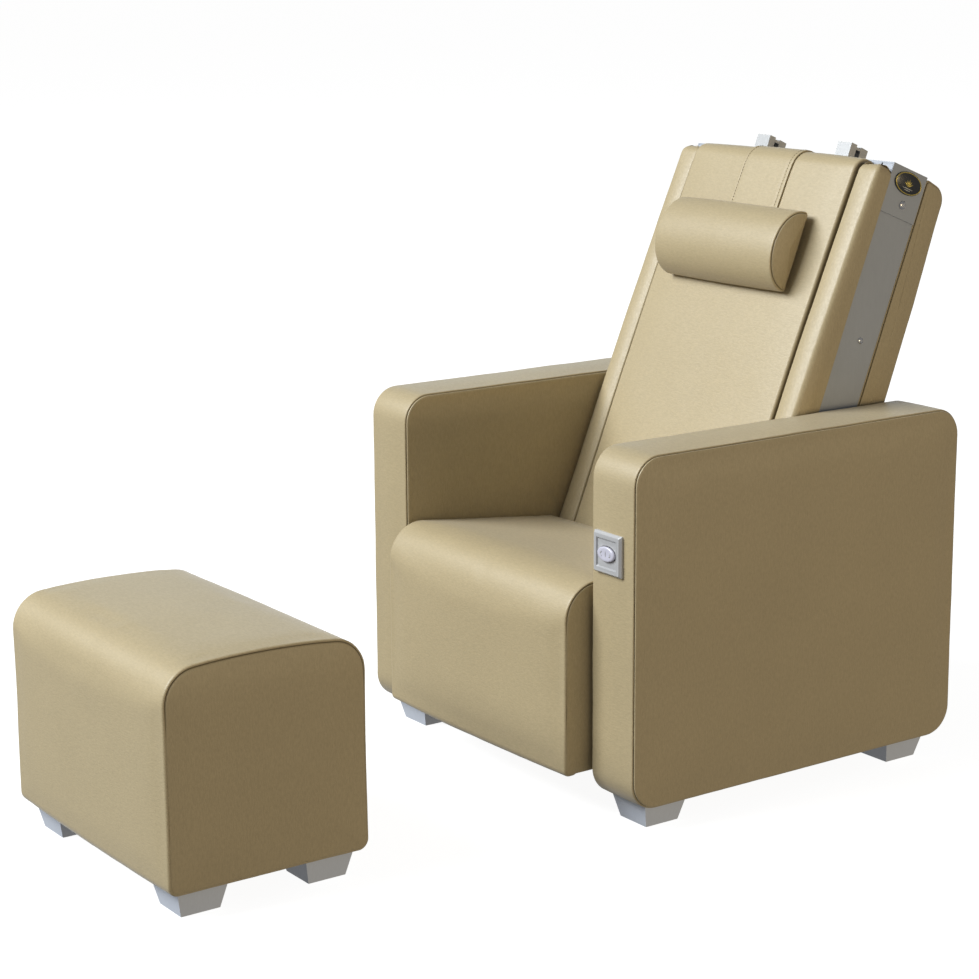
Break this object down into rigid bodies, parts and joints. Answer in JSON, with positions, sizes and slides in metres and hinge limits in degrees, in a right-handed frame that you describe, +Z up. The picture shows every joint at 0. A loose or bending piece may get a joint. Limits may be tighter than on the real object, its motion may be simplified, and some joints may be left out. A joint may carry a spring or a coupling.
{
  "type": "pedicure spa chair",
  "caption": "Upholstered pedicure chair with box arms, reclining massage back, sliding head pillow, rocker switch and a matching footed ottoman.",
  "frame": {"origin": "on the floor, under the middle of the box that holds the chair and its ottoman", "axes": "+Z up, -Y towards the front of the chair, where the ottoman stands, +X to the sitter's left"},
  "size_m": [0.768, 1.5918, 1.0878],
  "materials": {
    "vinyl": "beige upholstery vinyl with a fine grain, satin",
    "vinyl_side": "beige upholstery vinyl of the side panels, satin",
    "steel_grey": "satin grey powder coat",
    "frame_black": "black powder coat",
    "foot_grey": "satin light grey",
    "rail_light": "satin",
    "bright_steel": "bright zinc plated",
    "plywood": "bare plywood",
    "plate_grey": "satin light grey",
    "rocker_white": "smooth",
    "black_plastic": "fine texture",
    "badge_black": "glossy black with a gold rim"
  },
  "bodies": {
    "base": {"arm_left_band": "vinyl", "arm_left_outer_panel": "vinyl_side", "arm_left_inner_panel": "vinyl_side", "arm_right_band": "vinyl", "arm_right_outer_panel": "vinyl_side", "arm_right_inner_panel": "vinyl_side", "foot_left_front": "foot_grey", "foot_left_rear": "foot_grey", "foot_right_front": "foot_grey", "foot_right_rear": "foot_grey", "frame_cross_front": "frame_black", "frame_cross_rear": "frame_black", "frame_rail_left": "frame_black", "frame_rail_right": "frame_black", "hinge_bracket_left": "frame_black", "hinge_bracket_right": "frame_black", "seat_deck": "plywood", "seat_cushion": "vinyl", "seat_panel_left": "vinyl_side", "seat_panel_right": "vinyl_side", "actuator_body": "black_plastic", "switch_plate": "plate_grey", "power_inlet": "black_plastic"},
    "rocker": {"switch_rocker": "rocker_white"},
    "rod": {"actuator_rod": "bright_steel"},
    "back": {"side_channel_left": "steel_grey", "side_channel_right": "steel_grey", "top_cap": "steel_grey", "back_bar_top": "steel_grey", "back_bar_low": "steel_grey", "guide_rail_left": "rail_light", "guide_rail_right": "rail_light", "back_bolster_left": "vinyl", "back_bolster_right": "vinyl", "back_pad_top": "vinyl", "back_pad_low": "vinyl", "overlay_pad": "vinyl", "pillow_strap": "vinyl", "back_rear_cushion": "vinyl", "badge": "badge_black", "cap_bolt_left": "bright_steel", "cap_bolt_right": "bright_steel", "channel_bolt_left": "bright_steel", "channel_bolt_right": "bright_steel", "recline_lever": "bright_steel", "lift_motor": "black_plastic"},
    "carriage": {"carriage_frame": "steel_grey", "knead_motor": "black_plastic"},
    "kneader": {"knead_shaft": "bright_steel", "massage_head_left": "black_plastic", "massage_head_right": "black_plastic"},
    "screw": {"lift_screw": "bright_steel"},
    "pillow": {"head_pillow": "vinyl"},
    "ottoman": {"ottoman_band": "vinyl", "ottoman_panel_left": "vinyl_side", "ottoman_panel_right": "vinyl_side", "ottoman_foot_left_front": "foot_grey", "ottoman_foot_left_rear": "foot_grey", "ottoman_foot_right_front": "foot_grey", "ottoman_foot_right_rear": "foot_grey"}
  },
  "joints": [
    {"name": "recline", "type": "hinge", "parent": "base", "child": "back", "pos_m": [0, 0.4161, 0.33], "axis": [-1, 0, 0], "range_deg": [0, 25]},
    {"name": "actuator_stroke", "type": "slide", "parent": "base", "child": "rod", "axis": [0, -1, 0], "range_m": [0, 0.0436]},
    {"name": "switch_rock", "type": "hinge", "parent": "base", "child": "rocker", "pos_m": [0.327, -0.0099, 0.4715], "axis": [0, 0, 1], "range_deg": [-5, 5], "stiffness_Nm_per_rad": 0.6},
    {"name": "carriage_lift", "type": "slide", "parent": "back", "child": "carriage", "axis": [0, 0.3665, 0.9304], "range_m": [-0.2, 0.2]},
    {"name": "screw_spin", "type": "hinge", "parent": "back", "child": "screw", "pos_m": [0.03, 0.60172, 0.69754], "axis": [0, 0.3665, 0.9304], "range_deg": [-3610, 3610]},
    {"name": "knead_spin", "type": "hinge", "parent": "carriage", "child": "kneader", "pos_m": [0, 0.54264, 0.72082], "axis": [1, 0, 0], "continuous": true},
    {"name": "pillow_slide", "type": "slide", "parent": "back", "child": "pillow", "axis": [0, 0.3665, 0.9304], "range_m": [-0.1, 0.035]},
    {"name": "ottoman_slide", "type": "slide", "parent": "base", "child": "ottoman", "axis": [0, -1, 0], "range_m": [-0.36, 0.4]}
  ],
  "couplings": [
    {"joint": "actuator_stroke", "follows": "recline", "m_per_rad": 0.099209},
    {"joint": "screw_spin", "follows": "carriage_lift", "rad_per_m": 314.16}
  ]
}
